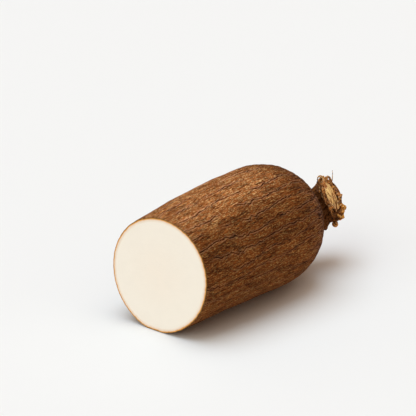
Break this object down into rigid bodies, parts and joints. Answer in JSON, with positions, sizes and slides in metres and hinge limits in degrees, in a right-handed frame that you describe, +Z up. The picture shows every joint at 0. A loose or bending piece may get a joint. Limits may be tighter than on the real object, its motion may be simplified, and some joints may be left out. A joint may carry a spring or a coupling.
{
  "type": "cut white yam half",
  "caption": "Half of a thick rough-skinned tuber, sawn off nearly square to show a flat pale face, with the dried woody stump of its vine on the rounded end.",
  "frame": {"origin": "on the floor under the tuber's axis, midway between the cut face and the rounded end", "axes": "+X along the tuber from the cut face to the vine stub, +Z up, +Y to the left when looking along +X"},
  "size_m": [0.2291, 0.1062, 0.1066],
  "materials": {
    "yam_skin": "dry, bark-like brown skin, matt",
    "dry_vine": "dry split stem and papery bark, matt"
  },
  "bodies": {
    "root": {"tuber": "yam_skin", "vine_stub": "dry_vine"}
  },
  "joints": []
}
